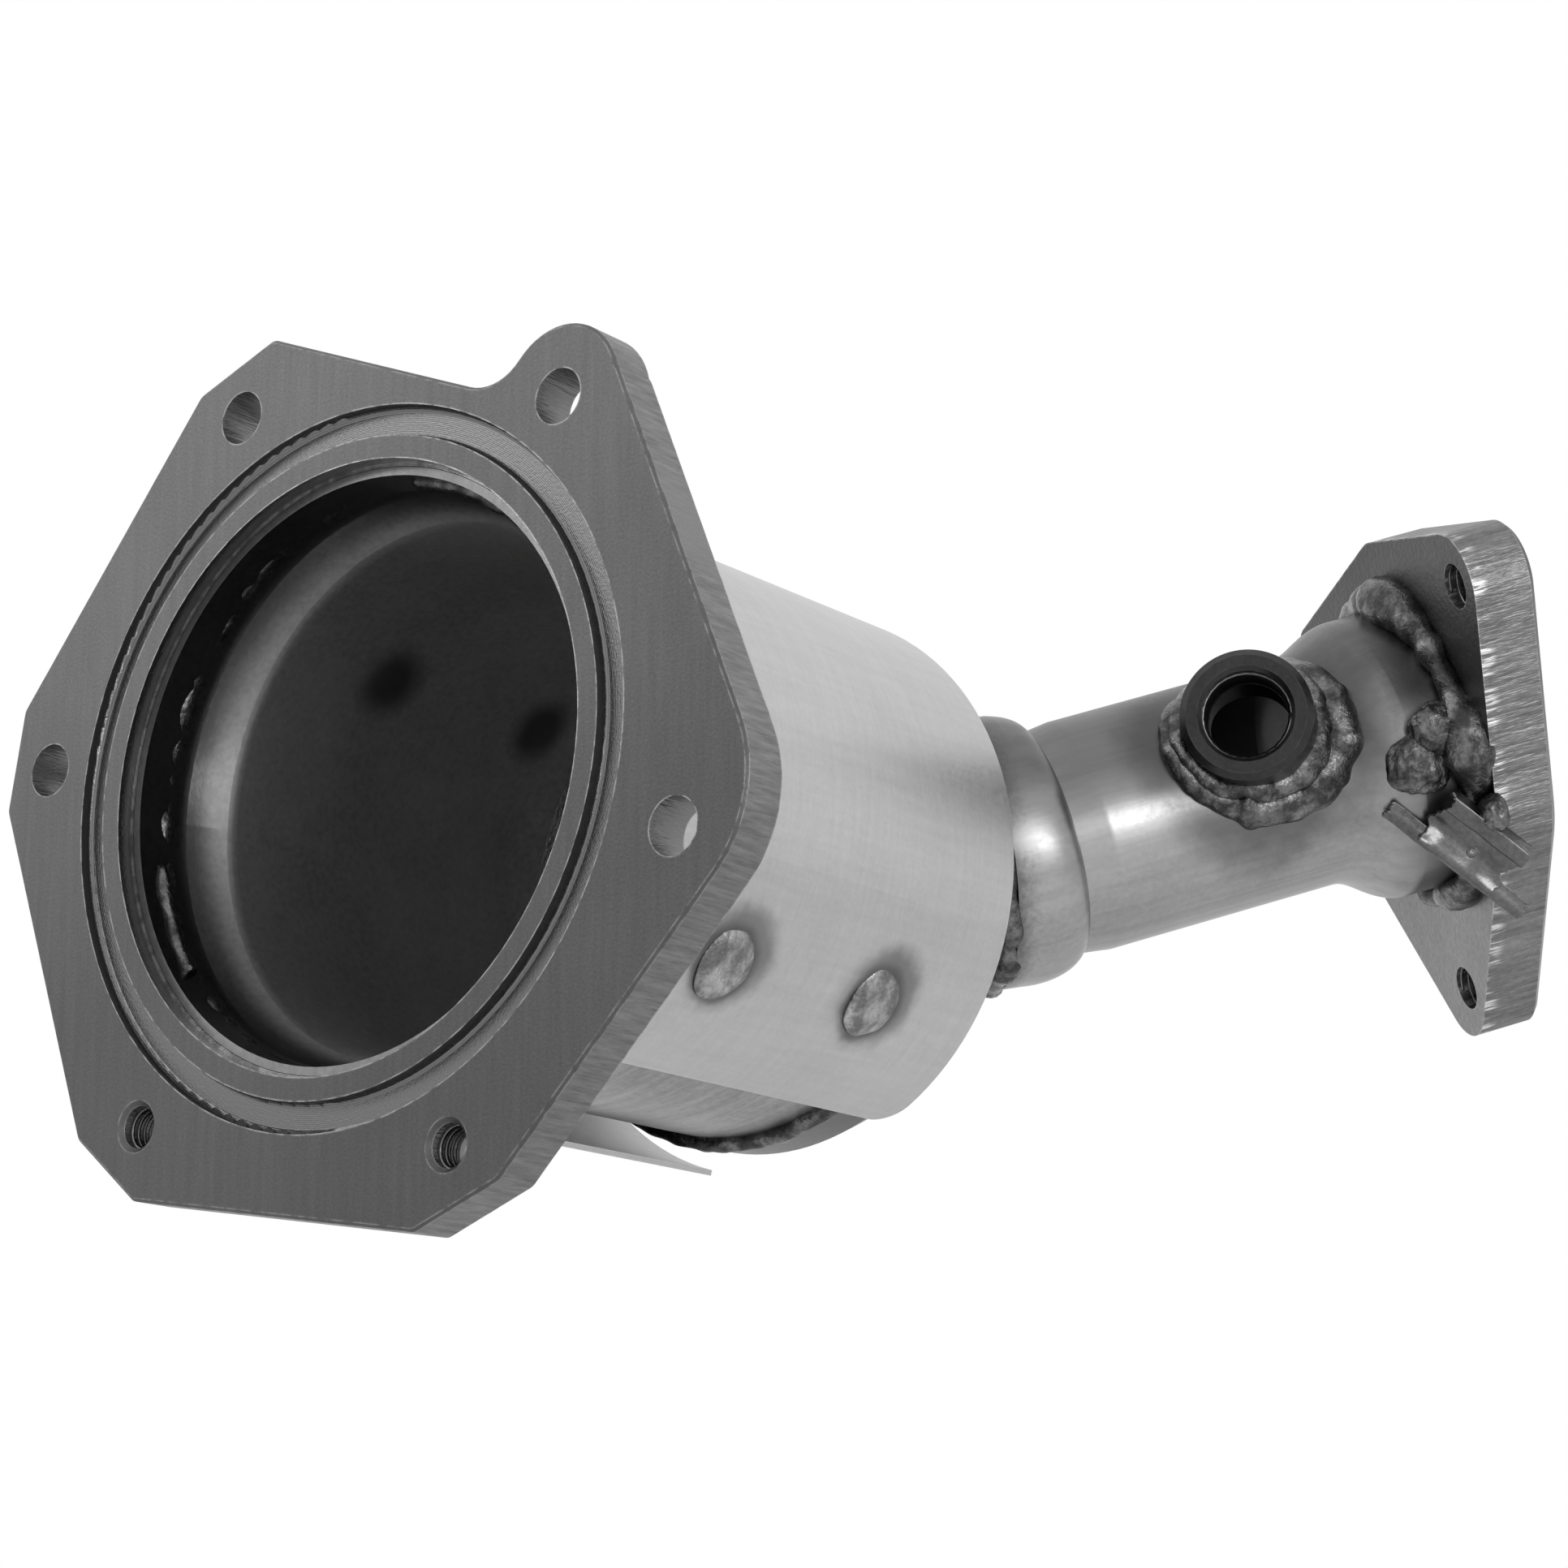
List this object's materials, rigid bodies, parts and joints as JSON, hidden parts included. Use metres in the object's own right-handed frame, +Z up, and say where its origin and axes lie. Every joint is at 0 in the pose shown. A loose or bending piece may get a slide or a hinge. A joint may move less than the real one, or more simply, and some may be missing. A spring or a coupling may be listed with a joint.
{
  "type": "catalytic converter",
  "caption": "Flanged exhaust can with a wrapped heat shield, an end cone turning into an angled pipe with a threaded sensor boss, and a thick outlet flange.",
  "frame": {"origin": "centre of the inlet flange's sealing face, on the can's axis", "axes": "+X along the can from the inlet into the converter, +Z up as pictured, +Y to the left seen from the inlet looking along +X"},
  "size_m": [0.2615, 0.191, 0.1539],
  "materials": {
    "flange_plate": "dull, finely pitted, light grey-brown scale",
    "can_steel": "rolled stainless, scaled dark inside",
    "shield_steel": "rolled stainless, satin with heat tint",
    "pipe_steel": "drawn tube, satin with heat tint",
    "cut_plate": "dull plate with striped cut edges",
    "weld": "lumpy oxidised weld metal",
    "boss_steel": "turned steel, dark scale",
    "torn_sheet": "torn and folded sheet with bright edges",
    "ceramic": "matt fired ceramic",
    "mat": "matt fibre mat",
    "seal_wire": "knitted wire"
  },
  "bodies": {
    "root": {"inlet_flange": "flange_plate", "can_shell": "can_steel", "inlet_weld": "weld", "inlet_root_weld": "weld", "substrate": "ceramic", "support_mat": "mat", "front_seal_ring": "seal_wire", "rear_seal_ring": "seal_wire", "end_cone": "pipe_steel", "cone_weld": "weld", "outlet_bell": "pipe_steel", "outlet_tube": "pipe_steel", "bell_weld": "weld", "sensor_boss": "boss_steel", "boss_weld": "weld", "outlet_flange": "cut_plate", "outlet_weld": "weld", "heat_shield": "shield_steel", "standoffs": "can_steel", "rosette_welds": "weld", "hanger_strap": "torn_sheet", "hanger_channel": "torn_sheet", "hanger_weld": "weld"}
  },
  "joints": []
}
